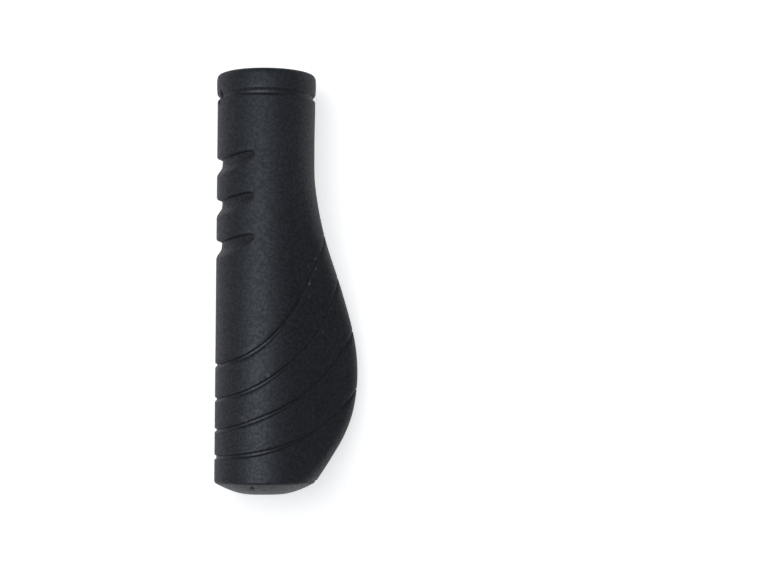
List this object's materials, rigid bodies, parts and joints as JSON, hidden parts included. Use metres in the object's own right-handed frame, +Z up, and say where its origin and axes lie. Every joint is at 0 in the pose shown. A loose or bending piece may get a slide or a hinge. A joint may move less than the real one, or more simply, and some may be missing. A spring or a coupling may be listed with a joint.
{
  "type": "handlebar grip",
  "caption": "Ergonomic rubber handlebar grip with a palm wing, finger notches, wrapping grooves, a collar and a blind bore for the bar.",
  "frame": {"origin": "middle of the grip's footprint on the surface it lies on", "axes": "+Y along the bore towards the open end, +Z up, +X towards the palm wing as the grip lies on it"},
  "size_m": [0.044, 0.13, 0.0313],
  "materials": {
    "rubber": "fine matt moulded grain"
  },
  "bodies": {
    "root": {"grip": "rubber"}
  },
  "joints": []
}
